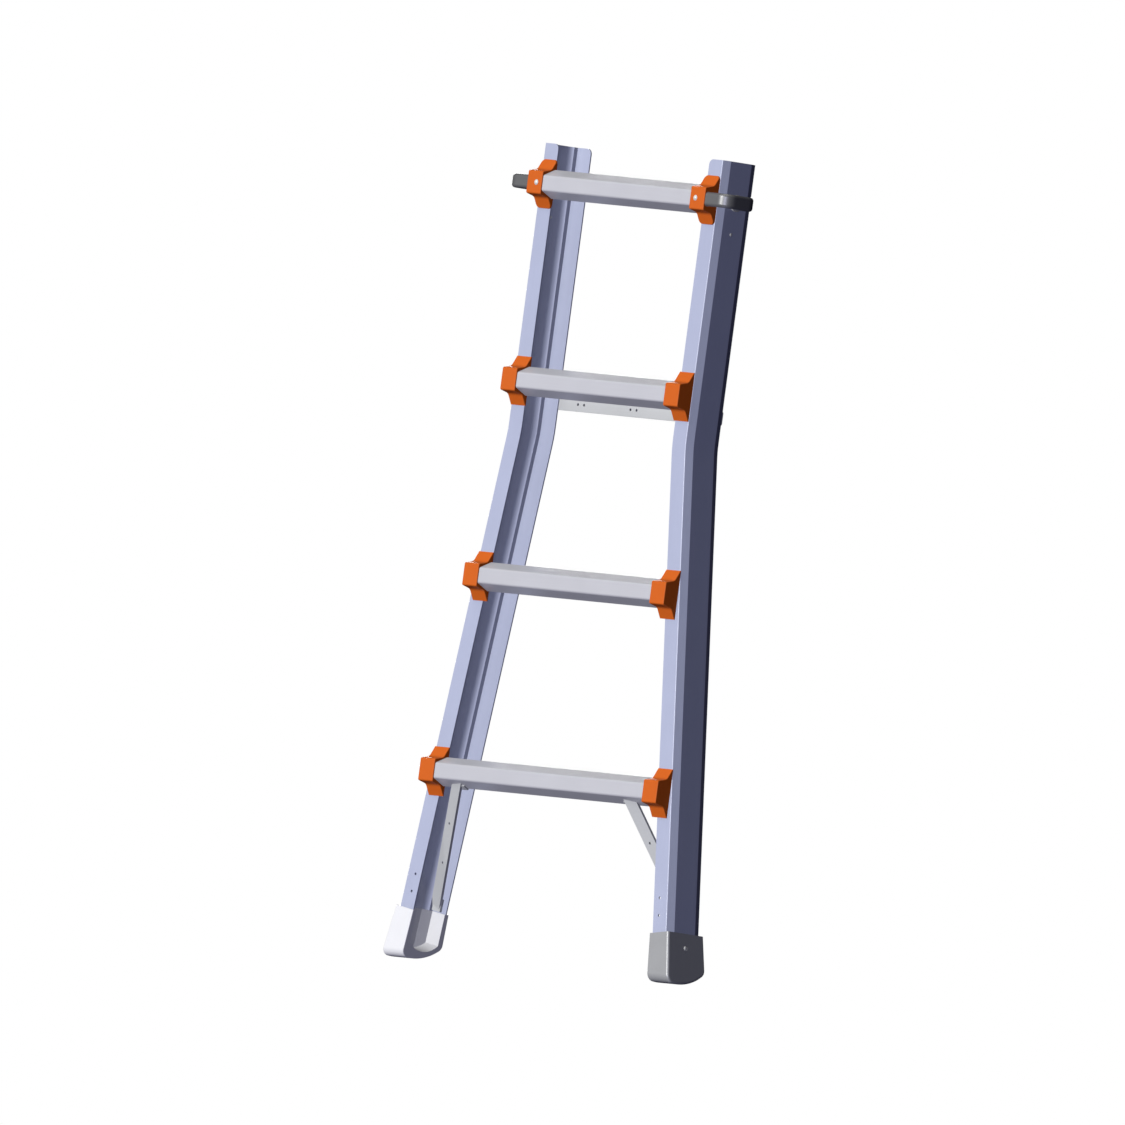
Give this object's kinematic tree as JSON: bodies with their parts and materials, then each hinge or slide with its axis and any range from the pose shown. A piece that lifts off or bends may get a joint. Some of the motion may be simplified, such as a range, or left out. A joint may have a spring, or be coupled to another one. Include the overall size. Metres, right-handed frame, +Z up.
{
  "type": "extension ladder",
  "caption": "Base section of a telescopic extension ladder: channel stiles that flare at the foot, bracketed rungs, rubber feet and spring lock handles.",
  "frame": {"origin": "middle of the ladder's box at floor level: between the stiles, halfway from front to back, under the feet", "axes": "+Z up along the parallel upper stiles, +X to the ladder's right seen from the climber's side, +Y away from the climber"},
  "size_m": [0.6066, 0.0952, 1.1637],
  "materials": {
    "stile_alloy": "anodised, blue-grey, satin",
    "rung_alloy": "extruded, pale satin",
    "bar_alloy": "flat bar, mill finish",
    "bracket_orange": "moulded, fine texture",
    "handle_grey": "moulded, smooth satin",
    "foot_white": "moulded rubber, smooth",
    "foot_grey": "moulded rubber, smooth",
    "bush_nylon": "natural nylon, dark",
    "steel": "zinc plated",
    "rivet_bright": "bright"
  },
  "bodies": {
    "ladder": {"left_stile": "stile_alloy", "right_stile": "stile_alloy", "top_rung": "rung_alloy", "second_rung": "rung_alloy", "third_rung": "rung_alloy", "bottom_rung": "rung_alloy", "left_top_bracket": "bracket_orange", "left_second_bracket": "bracket_orange", "left_third_bracket": "bracket_orange", "left_bottom_bracket": "bracket_orange", "right_top_bracket": "bracket_orange", "right_second_bracket": "bracket_orange", "right_third_bracket": "bracket_orange", "right_bottom_bracket": "bracket_orange", "left_guide_bush": "bush_nylon", "right_guide_bush": "bush_nylon", "left_pin_bush": "bush_nylon", "right_pin_bush": "bush_nylon", "bush_rivets": "rivet_bright", "rear_crossbar": "bar_alloy", "crossbar_rivets": "stile_alloy", "left_brace": "bar_alloy", "right_brace": "bar_alloy", "left_brace_rivets": "rivet_bright", "right_brace_rivets": "rivet_bright", "left_foot": "foot_white", "right_foot": "foot_grey", "left_foot_rivet": "rivet_bright", "right_foot_rivet": "rivet_bright", "left_rung_rivets": "rivet_bright", "right_rung_rivets": "rivet_bright", "stop_rivets": "rivet_bright"},
    "left_lock": {"left_lock_handle": "handle_grey", "left_guide_rod": "steel", "left_lock_pin": "steel", "left_spring_retainer": "steel", "left_lock_spring": "steel"},
    "right_lock": {"right_lock_handle": "handle_grey", "right_guide_rod": "steel", "right_lock_pin": "steel", "right_spring_retainer": "steel", "right_lock_spring": "steel"}
  },
  "joints": [
    {"name": "left_lock_slide", "type": "slide", "parent": "ladder", "child": "left_lock", "axis": [-1, 0, 0], "range_m": [0, 0.024], "stiffness_N_per_m": 350, "springref_m": -0.02, "deforming": ["left_lock_spring"]},
    {"name": "right_lock_slide", "type": "slide", "parent": "ladder", "child": "right_lock", "axis": [1, 0, 0], "range_m": [0, 0.024], "stiffness_N_per_m": 350, "springref_m": -0.02, "deforming": ["right_lock_spring"]}
  ]
}
